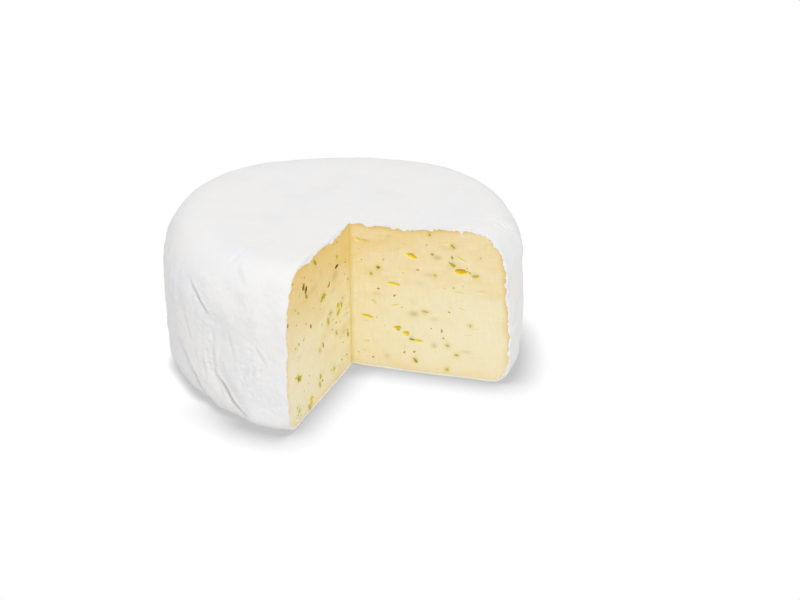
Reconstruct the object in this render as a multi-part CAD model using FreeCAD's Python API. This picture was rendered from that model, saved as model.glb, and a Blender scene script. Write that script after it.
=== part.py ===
import FreeCAD, Part

import math
import os

# A soft white-mould cheese: one low round with a wedge cut out of it and taken away.
# Millimetres, +Z up. The origin is on the table, on the axis of the round, and the
# wedge is missing from the side between -Y and +X.

# ---- the whole round ----
ROUND_RADIUS = 95.5
ROUND_HEIGHT = 84.0
SHOULDER_WIDTH = 18.0  # the soft top edge, measured inwards from the side
SHOULDER_DROP = 29.0  # and down from the top
FOOT_WIDTH = 9.8  # the tighter bottom edge, measured inwards from the side
FOOT_RISE = 9.8  # and up from the table
SIDE_BELLY = 0.6  # how far the side stands out half way up
TOP_SINK = 1.8  # how far the middle of the top has sunk
SUNK_DISC_RADIUS = 38.0  # the level middle of the top

# ---- how the curd settled out of true: (waves round the side, size, azimuth of a crest) ----
OUT_OF_ROUND = [(2, 0.8, 120.0), (3, 1.35, 38.0), (4, 0.75, -42.0), (5, 0.8, -8.0)]
SHOULDER_UNEVEN = [(1, 1.4, -90.0)]  # extra width of the shoulder
HEIGHT_UNEVEN = [(1, 0.4, -100.0), (2, 0.6, -15.0)]  # extra height of the shoulder's rim

# ---- swellings and hollows of the side ----
# (azimuth, height as a share of the whole, half width, half height, size)
SWELLINGS = [
    (-115.0, 0.01, 13.0, 11.0, 3.9),
    (-142.0, 0.02, 10.0, 10.0, -1.6),
    (-153.0, 0.02, 12.0, 11.0, -1.5),
    (-20.0, 0.71, 20.0, 28.0, -2.4),
    (95.0, 0.04, 24.0, 12.0, 1.6),
    (40.0, 0.54, 26.0, 20.0, -1.0),
]

# ---- the missing wedge ----
KNIFE_POINT = (3.9, -16.6)  # where the two cuts meet, short of the middle
LEFT_CUT_AZIMUTH = -110.6
RIGHT_CUT_AZIMUTH = -15.6

# ---- folds that the drain cloth pressed into the side ----
# (azimuth, share of the height) of the upper end and of the lower end, groove depth, lip height, width
FOLDS = [
    ((-148.0, 0.33), (-136.0, 0.06), 2.0, 1.1, 4.4),
    ((-128.5, 0.30), (-119.5, 0.07), 1.8, 1.2, 4.4),
    ((-141.5, 0.81), (-131.0, 0.64), 1.0, 0.8, 4.4),
    ((-125.5, 0.90), (-118.5, 0.74), 0.7, 0.5, 4.8),
    ((-114.5, 0.56), (-110.5, 0.40), 0.5, 0.3, 4.4),
    ((-131.0, 0.52), (-130.0, 0.30), 0.3, 0.6, 3.6),
]
LIP_SHIFT = 1.2  # from the bottom of a groove to the crest of its lip, in fold widths

# ---- the same cloth on the far side: broad folds at even steps, leaning by turns ----
FAR_FOLD_COUNT = 8
FAR_FOLD_FIRST = 5.0
FAR_FOLD_LAST = 190.0
FAR_FOLD_RUN = 0.31  # length, as a share of the height
FAR_FOLD_LEAN = 5.0
FAR_FOLD_DEPTH = 1.1
FAR_FOLD_WIDTH = 9.0
FAR_FOLD_HEIGHTS = [0.10, 0.31, 0.17]  # of the lower ends, as shares of the height

# ---- torn openings in the two cut faces ----
# (distance out from the knife point as a share of the radius, share of the height,
#  length, thickness, tilt)
RIGHT_OPENINGS = [
    (0.34, 0.79, 6.5, 2.6, -20.0),
    (0.61, 0.72, 6.5, 3.6, 5.0),
    (0.24, 0.59, 7.5, 1.5, -5.0),
    (0.09, 0.35, 7.5, 1.7, -10.0),
    (0.26, 0.29, 4.0, 2.2, 5.0),
    (0.31, 0.26, 3.5, 2.4, -5.0),
    (0.38, 0.22, 5.5, 1.9, -5.0),
    (0.04, 0.86, 3.5, 1.3, -25.0),
    (0.60, 0.58, 6.5, 1.2, 0.0),
    (0.13, 0.45, 3.0, 1.4, -30.0),
]
LEFT_OPENINGS = [
    (0.59, 0.82, 4.5, 1.8, 35.0),
    (0.18, 0.76, 4.0, 1.4, 5.0),
    (0.36, 0.65, 4.0, 2.2, 10.0),
    (0.17, 0.49, 4.5, 2.6, 40.0),
    (0.30, 0.44, 3.0, 1.8, 60.0),
    (0.54, 0.07, 5.0, 2.4, 20.0),
    (0.69, 0.29, 4.5, 2.0, 30.0),
]
OPENING_DEPTH = 1.7  # from the cut face to the back of an opening
OPENING_BACK = 0.45  # size of an opening's back, as a share of its mouth
OPENING_SIDES = 9

# ---- how finely the side is drawn: closer columns where the sharp folds are ----
COARSE_STEP = 7.5
FINE_STEP = 2.5
FINE_FROM = -157.5
FINE_TO = -97.5
FOOT_ROWS = 4
SIDE_ROWS = 9
SHOULDER_ROWS = 6
TOP_ROWS = 4
SPLINE_DEGREE = 3

NODE = "cheese_round"


def point(x, y, z):
    return FreeCAD.Vector(x, y, z)


def uneven(waves, azimuth):
    """The sum of some waves that run round the side, at an azimuth."""
    return sum(size * math.cos(math.radians(count * (azimuth - crest))) for count, size, crest in waves)


def profile(azimuth):
    """(radius, height) of each row at an azimuth, from the base over the shoulder to the sunk disc."""
    radius = ROUND_RADIUS + uneven(OUT_OF_ROUND, azimuth)
    shoulder = SHOULDER_WIDTH + uneven(SHOULDER_UNEVEN, azimuth)
    top = ROUND_HEIGHT + uneven(HEIGHT_UNEVEN, azimuth)
    side_top = top - SHOULDER_DROP
    rim = radius - shoulder
    disc_height = ROUND_HEIGHT - TOP_SINK
    rows = []
    for i in range(FOOT_ROWS):
        turn = math.radians(90.0 * i / FOOT_ROWS)
        rows.append((radius - FOOT_WIDTH * (1.0 - math.sin(turn)), FOOT_RISE * (1.0 - math.cos(turn))))
    for i in range(SIDE_ROWS):
        share = i / SIDE_ROWS
        belly = SIDE_BELLY * math.sin(math.pi * share)
        rows.append((radius + belly, FOOT_RISE + share * (side_top - FOOT_RISE)))
    for i in range(SHOULDER_ROWS + 1):
        turn = math.radians(90.0 * i / SHOULDER_ROWS)
        rows.append((radius - shoulder * (1.0 - math.cos(turn)), side_top + SHOULDER_DROP * math.sin(turn)))
    for i in range(1, TOP_ROWS + 1):
        share = i / TOP_ROWS
        sunk = (1.0 - math.cos(math.pi * share)) / 2.0
        rows.append((rim + share * (SUNK_DISC_RADIUS - rim), top + sunk * (disc_height - top)))
    return rows


def wrapped(angle):
    """An angle brought to between -180 and 180 degrees."""
    return (angle + 180.0) % 360.0 - 180.0


def fold_relief(azimuth, height, fold):
    """Groove and lip of one fold at a point of the side, on the side rolled out flat."""
    (top_azimuth, top_share), (low_azimuth, low_share), depth, lip, width = fold
    mm_per_degree = math.radians(ROUND_RADIUS)
    run_x = wrapped(low_azimuth - top_azimuth) * mm_per_degree
    run_z = (low_share - top_share) * ROUND_HEIGHT
    length = math.hypot(run_x, run_z)
    dx = wrapped(azimuth - top_azimuth) * mm_per_degree
    dz = height - top_share * ROUND_HEIGHT
    along = (dx * run_x + dz * run_z) / length
    across = (dx * run_z - dz * run_x) / length
    beyond = max(-along, along - length, 0.0)
    groove = depth * math.exp(-((across / width) ** 2))
    crest = lip * math.exp(-((across / width + LIP_SHIFT) ** 2))
    return (crest - groove) * math.exp(-((beyond / width) ** 2))


def swelling(azimuth, height, shape):
    """How far one swelling pushes out a point of the side."""
    middle_azimuth, middle_share, half_width, half_height, size = shape
    x = math.radians(wrapped(azimuth - middle_azimuth)) * ROUND_RADIUS / half_width
    z = (height - middle_share * ROUND_HEIGHT) / half_height
    return size * math.exp(-(x * x + z * z))


def far_folds():
    """Folds of the hidden side, leaning left and right by turns."""
    folds = []
    for i in range(FAR_FOLD_COUNT):
        middle = FAR_FOLD_FIRST + (FAR_FOLD_LAST - FAR_FOLD_FIRST) * i / (FAR_FOLD_COUNT - 1)
        lean = FAR_FOLD_LEAN if i % 2 else -FAR_FOLD_LEAN
        low = FAR_FOLD_HEIGHTS[i % len(FAR_FOLD_HEIGHTS)]
        depth = FAR_FOLD_DEPTH * (0.7 + 0.3 * math.cos(2.4 * i))
        upper_end = (middle - lean, low + FAR_FOLD_RUN)
        folds.append((upper_end, (middle + lean, low), depth, 0.6 * depth, FAR_FOLD_WIDTH))
    return folds


def side_knots():
    """Azimuths of the columns, once round from the start of the fine stretch."""
    knots = [FINE_FROM]
    while knots[-1] < FINE_FROM + 360.0 - 0.001:
        step = FINE_STEP if knots[-1] < FINE_TO - 0.001 else COARSE_STEP
        knots.append(knots[-1] + step)
    return knots


def side_skin():
    """Foot, side, shoulder and rim of the top as one spline surface that closes on itself."""
    folds = FOLDS + far_folds()
    knots = side_knots()
    columns = len(knots) - 1
    before = [knot - 360.0 for knot in knots[columns - SPLINE_DEGREE + 1:columns]]
    spread = before + knots
    grid = []
    for column in range(columns):
        azimuth = sum(spread[column:column + SPLINE_DEGREE]) / SPLINE_DEGREE
        turn = math.radians(azimuth)
        line = []
        for row, (radius, height) in enumerate(profile(azimuth)):
            if row < FOOT_ROWS + SIDE_ROWS + SHOULDER_ROWS:
                radius += sum(swelling(azimuth, height, shape) for shape in SWELLINGS)
            if 0 < row < FOOT_ROWS + SIDE_ROWS + SHOULDER_ROWS:
                radius += sum(fold_relief(azimuth, height, fold) for fold in folds)
            line.append(point(radius * math.cos(turn), radius * math.sin(turn), height))
        grid.append(line)
    rows = len(grid[0])
    up_knots = list(range(rows - SPLINE_DEGREE + 1))
    up_counts = [SPLINE_DEGREE + 1] + [1] * (len(up_knots) - 2) + [SPLINE_DEGREE + 1]
    skin = Part.BSplineSurface()
    skin.buildFromPolesMultsKnots(
        grid, [1] * len(knots), up_counts, knots, up_knots, True, False, SPLINE_DEGREE, SPLINE_DEGREE
    )
    return skin.toShape()


def level_disc(face, height):
    """A flat face that fills the level edge of a skin at a height."""
    for edge in face.Edges:
        box = edge.BoundBox
        if box.ZLength < 0.001 and abs(box.ZMin - height) < 0.001:
            return Part.Face(Part.Wire([edge]))
    raise ValueError("the skin has no level edge there")


def whole_round():
    """The cheese before it was cut."""
    skin = side_skin()
    shell = Part.Shell([skin, level_disc(skin, 0.0), level_disc(skin, ROUND_HEIGHT - TOP_SINK)])
    shell.sewShape()
    body = Part.Solid(Part.Shell(shell.Faces))
    if body.Volume < 0.0:
        body.reverse()
    return body


def out_along(azimuth, distance, height):
    """A point at a distance from the knife point along a cut."""
    turn = math.radians(azimuth)
    x, y = KNIFE_POINT
    return point(x + distance * math.cos(turn), y + distance * math.sin(turn), height)


def missing_wedge():
    """The wedge as a prism, with room to spare outside, above and below."""
    spare = ROUND_HEIGHT / 4.0
    reach = 2.0 * ROUND_RADIUS
    middle_azimuth = (LEFT_CUT_AZIMUTH + RIGHT_CUT_AZIMUTH) / 2.0
    corners = [
        out_along(0.0, 0.0, -spare),
        out_along(LEFT_CUT_AZIMUTH, reach, -spare),
        out_along(middle_azimuth, reach, -spare),
        out_along(RIGHT_CUT_AZIMUTH, reach, -spare),
    ]
    outline = Part.makePolygon(corners + corners[:1])
    return Part.Face(outline).extrude(point(0.0, 0.0, ROUND_HEIGHT + 2.0 * spare))


def torn_outline(length, thickness, offset, share):
    """A long many-sided outline with two sharp ends, standing across the Y axis at an offset."""
    corners = []
    for i in range(OPENING_SIDES):
        turn = 2.0 * math.pi * i / OPENING_SIDES
        swell = 1.0 + 0.25 * math.cos(2.0 * turn + length)
        x = share * length / 2.0 * math.cos(turn)
        z = share * thickness / 2.0 * math.sin(turn) * swell
        corners.append(point(x, offset, z))
    return Part.makePolygon(corners + corners[:1])


def opening(azimuth, inward, out_share, up_share, length, thickness, tilt):
    """One torn opening: a pocket that narrows from its mouth in the cut face to its back."""
    flare = 2.0 - OPENING_BACK
    outside = torn_outline(length, thickness, -inward * OPENING_DEPTH, flare)
    back = torn_outline(length, thickness, inward * OPENING_DEPTH, OPENING_BACK)
    hollow = Part.makeLoft([outside, back], True, True)
    origin = point(0.0, 0.0, 0.0)
    hollow.rotate(origin, point(0.0, 1.0, 0.0), -tilt)
    hollow.rotate(origin, point(0.0, 0.0, 1.0), azimuth)
    hollow.translate(out_along(azimuth, out_share * ROUND_RADIUS, up_share * ROUND_HEIGHT))
    return hollow


def openings():
    """Every torn opening of the two faces."""
    left = [opening(LEFT_CUT_AZIMUTH, -1.0, *sizes) for sizes in LEFT_OPENINGS]
    right = [opening(RIGHT_CUT_AZIMUTH, 1.0, *sizes) for sizes in RIGHT_OPENINGS]
    return left + right


def cheese_round():
    return whole_round().cut(missing_wedge()).cut(openings())


os.makedirs("parts", exist_ok=True)
cheese = cheese_round()
solid = cheese.Solids[0]
litres = solid.Volume / 1e6
print(NODE, "solids", len(cheese.Solids), "valid", solid.isValid(), "litres", round(litres, 4))
solid.exportStep(os.path.join("parts", NODE + ".step"))
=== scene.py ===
# %% [markdown]
# # A soft cheese round with a wedge cut out
# The real thing is a low round of curd that drained in a cloth and then grew a white coat
# of mould. Somebody cut a wedge out of it, so two flat faces of pale yellow paste show,
# with torn openings, herbs, chilli and pepper in them.
#
# The construction gives one solid at its true size. Here that solid is read as a template:
# a thin rind and the paste inside it are modelled over it, in much more detail, and then
# the small things that were stirred into the curd are set into the two cut faces.

# %% Load the frame
import math
import random

import bmesh
import bpy
import numpy as np
from mathutils import Euler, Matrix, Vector, noise
from mathutils.bvhtree import BVHTree


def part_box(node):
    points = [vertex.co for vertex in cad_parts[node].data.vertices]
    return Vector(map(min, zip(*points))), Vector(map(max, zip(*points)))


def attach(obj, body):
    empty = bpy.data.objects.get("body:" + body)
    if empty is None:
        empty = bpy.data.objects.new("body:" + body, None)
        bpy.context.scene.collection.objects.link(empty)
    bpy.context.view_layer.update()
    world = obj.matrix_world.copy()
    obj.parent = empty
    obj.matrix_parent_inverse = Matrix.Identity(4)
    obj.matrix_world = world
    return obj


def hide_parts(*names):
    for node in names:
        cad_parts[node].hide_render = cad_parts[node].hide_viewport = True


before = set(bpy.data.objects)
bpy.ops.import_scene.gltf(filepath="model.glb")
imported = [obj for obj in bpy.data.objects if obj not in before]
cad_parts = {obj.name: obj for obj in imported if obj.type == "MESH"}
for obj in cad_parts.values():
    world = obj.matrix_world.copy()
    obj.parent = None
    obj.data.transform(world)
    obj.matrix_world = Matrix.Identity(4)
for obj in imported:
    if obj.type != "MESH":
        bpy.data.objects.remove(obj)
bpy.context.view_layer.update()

NODE = "cheese_round"
BODY = "root"
MM = 0.001  # one millimetre in metres: sizes below are in millimetres
cad_low, cad_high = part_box(NODE)
print("solid", [round(size / MM, 1) for size in cad_high - cad_low], "mm")

# %% [markdown]
# ## The camera
# The round is seen from a little above, with the notch turned to the right. A lens longer
# than normal keeps the far edge of the top nearly as wide as the near one, which suits food
# on a table. The camera comes first, so that each later step can be looked at.

# %% Camera
CAMERA_PLACE = (29.35, -659.3, 342.2)  # mm
CAMERA_PITCH = 64.645  # degrees from straight down
CAMERA_LENS = 61.4  # mm on a sensor 36 mm wide

camera = bpy.data.objects.new("camera", bpy.data.cameras.new("camera"))
camera.data.lens = CAMERA_LENS
camera.location = Vector(CAMERA_PLACE) * MM
camera.rotation_euler = Euler((math.radians(CAMERA_PITCH), 0.0, 0.0))
bpy.context.collection.objects.link(camera)
bpy.context.scene.camera = camera
print("camera", round(camera.location.length, 3), "m from the middle of the base")

# %% [markdown]
# ## Reading the solid
# The two cuts meet in an upright line, the knife line. Seen from that line the outside of
# the round can be described as one section after another, swept from the right cut round
# the back to the left cut. Each section is read off the solid with rays that come from
# outside, so the openings in the cut faces can't catch them.
#
# The solid's mesh has flat facets. Averaging the distances of neighbouring rays takes them
# away and leaves the broad folds.

# %% The knife line and the sweep
KNIFE_POINT = (3.9, -16.6)
RIGHT_CUT = -15.6  # azimuth of each cut, in degrees
LEFT_CUT = -110.6
SWEEP = 360.0 + LEFT_CUT - RIGHT_CUT
CUTS = {"right": (RIGHT_CUT, -90.0), "left": (LEFT_CUT, 90.0)}  # azimuth, turn to the way it faces


def direction(azimuth):
    """The level unit vector at an azimuth."""
    return Vector((math.cos(math.radians(azimuth)), math.sin(math.radians(azimuth)), 0.0))


def facing(cut):
    """The way that a cut face looks."""
    azimuth, quarter = CUTS[cut]
    return direction(azimuth + quarter)


print("swept", SWEEP, "degrees; the faces look along", facing("right"), facing("left"))

# %% Rays from outside
RAYS = 360  # in each section, from under the knife line to over it
RAY_MARGIN = 1.5  # degrees left out straight below and straight above
CUT_MARGIN = 0.6  # degrees that a section keeps inside a cut
FAR = 0.4  # metres, well outside the round
FACET_PASSES = 8  # of averaging over three neighbours

template = bmesh.new()
template.from_mesh(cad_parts[NODE].data)
bmesh.ops.remove_doubles(template, verts=template.verts, dist=1e-6)
skin_tree = BVHTree.FromBMesh(template)


def averaged(values, axis):
    """Each value with its two neighbours, the middle one counting double."""
    padded = np.pad(values, [(1, 1) if i == axis else (0, 0) for i in range(values.ndim)], mode="edge")
    count = values.shape[axis]
    before, after = (np.take(padded, range(start, start + count), axis) for start in (0, 2))
    return (before + 2.0 * values + after) / 4.0


def read_sections(azimuths):
    """(distance out, height) in mm of RAYS points in each section, as one array."""
    centre = Vector((KNIFE_POINT[0] * MM, KNIFE_POINT[1] * MM, cad_high.z / 2.0))
    tilts = np.radians(np.linspace(RAY_MARGIN - 90.0, 90.0 - RAY_MARGIN, RAYS))
    distances = []
    for azimuth in azimuths:
        inside = min(max(azimuth, RIGHT_CUT + CUT_MARGIN), RIGHT_CUT + SWEEP - CUT_MARGIN)
        out = direction(inside)
        line = []
        for tilt in tilts:
            aim = out * math.cos(tilt) + Vector((0.0, 0.0, math.sin(tilt)))
            hit = skin_tree.ray_cast(centre + aim * FAR, -aim)[0]
            line.append((hit - centre).length / MM)
        distances.append(line)
    distances = np.array(distances)
    for _ in range(FACET_PASSES):
        distances = averaged(averaged(distances, 0), 1)
    out = distances * np.cos(tilts)
    up = distances * np.sin(tilts) + centre.z / MM
    out = np.pad(out, [(0, 0), (1, 1)])
    up = np.pad(up, [(0, 0), (1, 1)], mode="edge")
    return np.stack([out, np.maximum(up, 0.0)], axis=2)


middle = read_sections([RIGHT_CUT + SWEEP / 2.0])[0]
print("middle section reaches", middle.max(axis=0).round(1), "mm out and up")

# %% [markdown]
# ## Reading the openings
# The solid has the larger torn openings as pockets in its two cut faces. A pocket's mouth is
# a closed rim: the edges where a level face of the cut meets a face that leads inwards. Each
# rim is brought down to a middle, a length, a thickness and a tilt, so that the openings can
# be made again with torn outlines at the same places.

# %% Rims and their sizes
RIM_LEVEL = 0.05  # mm within which a face of the solid counts as lying in the cut
LARGEST_OPENING = 20.0  # mm; a longer rim is the outline of the cut itself
PARALLEL = 0.999  # cosine from which two normals count as the same


def rims(cut):
    """(distance out, height) in mm of the points of each opening's rim in a cut face of the solid."""
    along, normal = direction(CUTS[cut][0]), facing(cut)
    knife = Vector((*KNIFE_POINT, 0.0))
    level = {face for face in template.faces if face.normal.dot(normal) > PARALLEL
             and abs((face.calc_center_median() / MM - knife).dot(normal)) < RIM_LEVEL}
    neighbours = {}
    for rim_edge in template.edges:
        if sum(face in level for face in rim_edge.link_faces) == 1:
            for point in rim_edge.verts:
                neighbours.setdefault(point, []).append(rim_edge.other_vert(point))
    found = []
    while neighbours:
        rim, waiting = [], [next(iter(neighbours))]
        while waiting:
            point = waiting.pop()
            if point in neighbours:
                rim.append(((point.co / MM - knife).dot(along), point.co.z / MM))
                waiting.extend(neighbours.pop(point))
        found.append(np.array(rim))
    return [rim for rim in found if np.ptp(rim[:, 0]) < LARGEST_OPENING]


def lens(rim):
    """Middle out, middle up, length, thickness and tilt of a rim, which spreads most along its length."""
    centre = (rim.max(axis=0) + rim.min(axis=0)) / 2.0
    axes = np.linalg.eigh(np.cov((rim - centre).T))[1]
    thick, length = np.ptp((rim - centre) @ axes, axis=0)
    tilt = math.degrees(math.atan2(axes[1, 1], axes[0, 1]))
    return (*centre, length, thick, (tilt + 90.0) % 180.0 - 90.0)


solid_openings = {cut: [lens(rim) for rim in rims(cut)] for cut in CUTS}
template.free()
for cut, found in solid_openings.items():
    print(cut, len(found), "openings, the longest", round(max(sizes[2] for sizes in found), 1), "mm")

# %% [markdown]
# ## Columns and rows of the rind
# Detail goes where it is seen: close columns at the torn edges, on the fluted shoulder and
# in the folded stretch to the left of the notch, wider ones at the back; close rows on the
# side, wider ones on the flat top and base. Both come from the same idea, even steps of a
# length that counts more where the detail is.

# %% Spacing
RIND_COLUMNS = 310
RIND_ROWS = 158
EDGE_STRETCH = 3.0  # degrees beside each cut with the closest columns
EDGE_WEIGHT = 4.2
FOLD_FROM = 198.0  # degrees of the sweep's azimuth where the folded stretch begins
FOLD_WEIGHT = 2.2
FLUTED_TO = 2.0  # the shoulder behind the right cut is finely fluted up to this azimuth
FLUTED_WEIGHT = 1.5
TOP_WEIGHT = 0.72  # of a row on the top, where a row on the side counts 1
BASE_WEIGHT = 0.1
STEEPNESS = 1.4  # a stretch counts as side well before it is upright
FINE_STEPS = 2000  # from cut to cut, for measuring


def even_steps(weights, lengths, count):
    """Where along a line count even steps of its weighted length end, from 0 to its last point."""
    total = np.concatenate([[0.0], np.cumsum(weights * lengths)])
    return np.interp(np.linspace(0.0, total[-1], count + 1), total, np.arange(len(total)))


def column_azimuths(count):
    """Azimuths of the columns, from the right cut round the back to the left cut."""
    fine = np.linspace(RIGHT_CUT, RIGHT_CUT + SWEEP, FINE_STEPS)
    mid = (fine[1:] + fine[:-1]) / 2.0
    to_cut = np.minimum(mid - RIGHT_CUT, RIGHT_CUT + SWEEP - mid)
    weights = 1.0 + (FOLD_WEIGHT - 1.0) / (1.0 + np.exp(-(mid - FOLD_FROM)))
    weights = weights + EDGE_WEIGHT * np.exp(-((to_cut / EDGE_STRETCH) ** 2))
    weights = weights + FLUTED_WEIGHT / (1.0 + np.exp(mid - FLUTED_TO))
    return np.interp(even_steps(weights, np.diff(fine), count), np.arange(len(fine)), fine)


def points_at(line, places):
    """Points of a line of points at fractional places along it."""
    whole = np.arange(len(line))
    return np.stack([np.interp(places, whole, line[:, i]) for i in range(line.shape[1])], axis=1)


def weighted_rows(section, count):
    """A section's points at even steps, closer on the side than on the top and the base."""
    step = np.diff(section, axis=0)
    length = np.hypot(step[:, 0], step[:, 1])
    steep = np.minimum(STEEPNESS * np.abs(step[:, 1]) / np.maximum(length, 1e-6), 1.0)
    level = np.where(section[1:, 1] < section[:, 1].max() / 2.0, BASE_WEIGHT, TOP_WEIGHT)
    return points_at(section, even_steps(level + (1.0 - level) * steep, length, count))


rind_azimuths = column_azimuths(RIND_COLUMNS)
sections = read_sections(rind_azimuths)
rind_sections = np.stack([weighted_rows(section, RIND_ROWS) for section in sections], axis=1)
print("rind", rind_sections.shape[:2], "columns from", np.diff(rind_azimuths).min().round(3),
      "to", np.diff(rind_azimuths).max().round(3), "degrees apart")


# %% From sections to points in space
def swept(section_points, azimuths, pivot=KNIFE_POINT):
    """Points in mm: row by row of each section, stood up at its azimuth on the knife line."""
    turn = np.radians(azimuths)
    out = section_points[..., 0]
    x = pivot[0] + out * np.cos(turn)
    y = pivot[1] + out * np.sin(turn)
    return np.stack([x, y, section_points[..., 1]], axis=2)


def outward(points):
    """Unit vectors that point out of a grid of rows and columns."""
    down, along = np.gradient(points, axis=0), np.gradient(points, axis=1)
    normals = np.cross(along, down)
    lengths = np.linalg.norm(normals, axis=2, keepdims=True)
    normals = normals / np.maximum(lengths, 1e-9)
    normals[0], normals[-1] = (0.0, 0.0, -1.0), (0.0, 0.0, 1.0)
    return normals


rind_points = swept(rind_sections, rind_azimuths)
rind_normals = outward(rind_points)
side = rind_normals[RIND_ROWS // 2, RIND_COLUMNS // 2]
print("a normal of the far side:", side.round(2))

# %% [markdown]
# ## The rind's relief
# A mould-ripened rind isn't smooth. The cloth left folds, the curd sagged in soft lumps,
# and the mould grew over all of it like felt. Broad folds are in the solid already. What is
# added here is their sharp bottoms, the crumpled patches beside them and soft lumps of
# several sizes. It is real geometry, so it shows in the outline and in the mesh.
#
# Noise gives the lumps. A crease is a route over the side, rolled out flat, with a groove
# along it and a raised lip beside it.

# %% Soft lumps
LUMPS = [(34.0, 0.34), (13.0, 0.22), (5.5, 0.11), (2.4, 0.055)]  # size across, height, in mm
SIDE_LUMPS = 3.0  # how much rougher the cloth left the side than the top
SIDE_TOP = 80.0  # mm up, where that roughness begins
SIDE_FADE = 12.0  # mm below it, where all of it is there
SIDE_RADIUS = 60.0  # mm from the middle: nearer in lie only the top and the base


def lumps(points, size, seed):
    """Smooth noise between -1 and 1 over an array of points, with lumps of a size in mm."""
    shift = Vector((17.3 * seed, 5.1 * seed, -9.7 * seed))
    values = [noise.noise(Vector(place) + shift) for place in points.reshape(-1, 3) / size]
    return np.array(values).reshape(points.shape[:-1])


relief = sum(tall * lumps(rind_points, size, 3 + i) for i, (size, tall) in enumerate(LUMPS))
azimuth = np.degrees(np.arctan2(rind_points[..., 1], rind_points[..., 0]))
height = rind_points[..., 2]
radius = np.hypot(rind_points[..., 0], rind_points[..., 1])
on_side = np.clip((SIDE_TOP - height) / SIDE_FADE, 0.0, 1.0) * (radius > SIDE_RADIUS)
relief = relief * (1.0 + (SIDE_LUMPS - 1.0) * on_side)
print("lumps from", relief.min().round(2), "to", relief.max().round(2), "mm")

# %% Creases beside the notch
ROLLED_RADIUS = 95.5
LIP_AT = 1.5  # from the bottom of a groove to the crest of its lip, in groove widths
END_MARGIN = 0.02  # share of its length at each end that keeps a trace of the groove
END_FULLNESS = 0.6  # below 1 a crease stays nearly full until close to its ends
# (route as (azimuth, height), depth, lip, width): a route runs downwards
CREASES = [
    ([(-147, 30), (-141, 17), (-138, 6)], 3.4, 0.9, 2.1),
    ([(-131, 24), (-124, 12), (-118, 6)], 2.4, 1.2, 1.1),
    ([(-142, 68), (-136, 60), (-132, 55)], 1.6, 0.8, 1),
    ([(-115, 47), (-111, 37)], 0.6, 0.3, 1),
    ([(-125, 81), (-119, 74)], 0.5, 0.3, 1.2),
    ([(-131, 48), (-131, 24), (-128, 12)], 0.6, 0.6, 1.2),
    ([(-120, 72), (-123, 64)], 0.2, -0.4, 1.2),
    ([(-136, 42), (-135, 20)], 0.5, 0.3, 1.3),
    ([(-145, 55), (-141, 36)], 0.5, 0.3, 1.5),
    ([(-152, 62), (-151, 36)], 0.5, 0.3, 1.8),
    ([(-158, 74), (-155, 52)], 0.5, 0.3, 1.8),
    ([(-125, 50), (-122, 34)], 0.4, 0.3, 1.3),
]


def wrapped(angles):
    """Angles brought to between -180 and 180 degrees."""
    return (angles + 180.0) % 360.0 - 180.0


def crease(route, depth, lip, width):
    """Lip and groove of one crease over the whole rind, both in mm."""
    flat = [(math.radians(a - route[0][0]) * ROLLED_RADIUS, h) for a, h in route]
    x = np.radians(wrapped(azimuth - route[0][0])) * ROLLED_RADIUS
    nearest = np.full(x.shape, np.inf)
    aside = np.zeros(x.shape)
    along = np.zeros(x.shape)
    for i, ((ax, az), (bx, bz)) in enumerate(zip(flat, flat[1:])):
        length = math.hypot(bx - ax, bz - az)
        ux, uz = (bx - ax) / length, (bz - az) / length
        share = np.clip(((x - ax) * ux + (height - az) * uz) / length, 0.0, 1.0)
        gap = np.hypot(x - ax - share * length * ux, height - az - share * length * uz)
        closer = gap < nearest
        turned = (x - ax) * uz - (height - az) * ux
        nearest = np.where(closer, gap, nearest)
        aside = np.where(closer, np.sign(turned) * gap, aside)
        along = np.where(closer, (i + share) / (len(flat) - 1), along)
    inside = np.clip(along, END_MARGIN, 1.0 - END_MARGIN)
    ends = np.sin(np.pi * inside) ** END_FULLNESS * (radius > SIDE_RADIUS)
    groove = depth * np.exp(-((aside / width) ** 2))
    crest = lip * np.exp(-((aside / width + LIP_AT) ** 2))
    return crest * ends, groove * ends


fold = np.zeros(relief.shape)
for sizes in CREASES:
    crest, groove = crease(*sizes)
    relief = relief + crest - groove
    fold = np.maximum(fold, groove)
print(len(CREASES), "creases; relief from", relief.min().round(2), "to", relief.max().round(2), "mm")

# %% [markdown]
# The hidden side drained in the same cloth, so it gets fainter creases of the same kind:
# their places are drawn by a seeded generator, and no two are alike. The mould grows
# thinly in a sharp fold, and the bottom of the fold lies in shade: an attribute keeps how
# deep in a sharp groove each point lies, and its colour is greyed there, partly for the
# mould and partly as painted shade.

# %% Creases round the back
BACK_CREASES = 26
BACK_FROM = -2.0
BACK_TO = 196.0
BACK_SHIFT = 0.4  # of a step that a crease may stand off its even place
BACK_TOP = (22.0, 74.0)  # height of the upper end, least and most
BACK_DROP = (20.0, 52.0)
BACK_LEAN = (2.0, 8.0)  # degrees
BACK_BEND = 1.5
BACK_DEPTH = (0.25, 0.75)
BACK_WIDTH = (1.8, 3.0)
BACK_LIP = 0.6  # of the depth
LOWEST_END = 6.0
BARE_AND_SHADED_FOLD = 2.6  # mm: at the bottom of a groove this deep the grey of sparse mould and painted shade is full
BARE_AND_SHADED_FADE = 1.5  # above 1 that grey keeps to the bottom of the groove

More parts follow.
